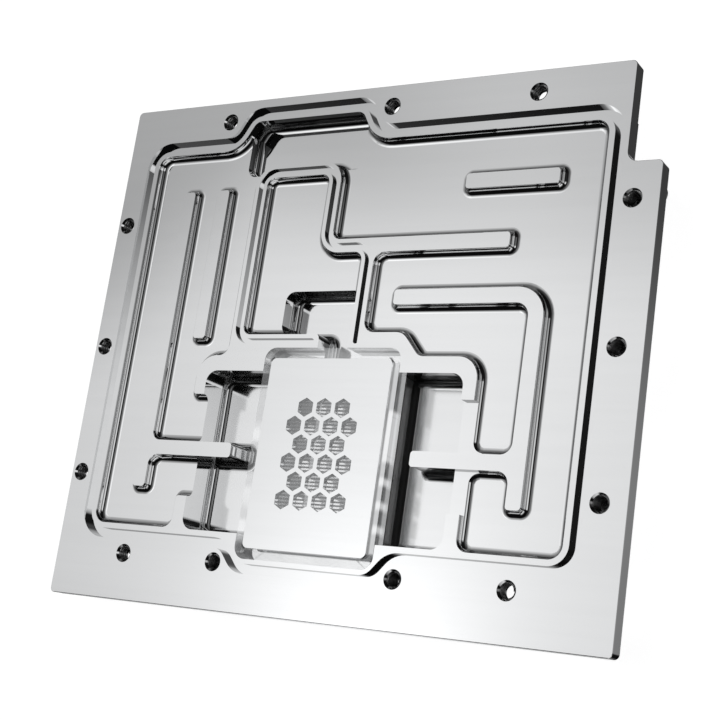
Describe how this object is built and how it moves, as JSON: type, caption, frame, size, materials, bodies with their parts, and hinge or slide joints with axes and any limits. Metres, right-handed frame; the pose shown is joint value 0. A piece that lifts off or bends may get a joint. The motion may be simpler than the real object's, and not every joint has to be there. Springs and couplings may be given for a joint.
{
  "type": "gpu water block",
  "caption": "Nickel-plated core of a graphics card water block: milled coolant channels, ribs and seal grooves, a clear flow insert over its fins, and standoffs on its back.",
  "frame": {"origin": "centre of the plate's outline, in the plane of the standoffs' free ends, which it rests on", "axes": "+Z out of the milled front face, +Y to the edge with the port pocket, +X to the notched side"},
  "size_m": [0.1502, 0.1296, 0.0122],
  "materials": {
    "nickel": "mirror-bright nickel plating over copper",
    "clear_acrylic": "clear, milled and flame polished",
    "polished_inlay": "mirror polished",
    "standoff_nickel": "nickel-plated turned brass"
  },
  "bodies": {
    "root": {"cold_plate": "nickel", "flow_insert": "clear_acrylic", "inlay_plate": "polished_inlay", "standoffs": "standoff_nickel"}
  },
  "joints": []
}
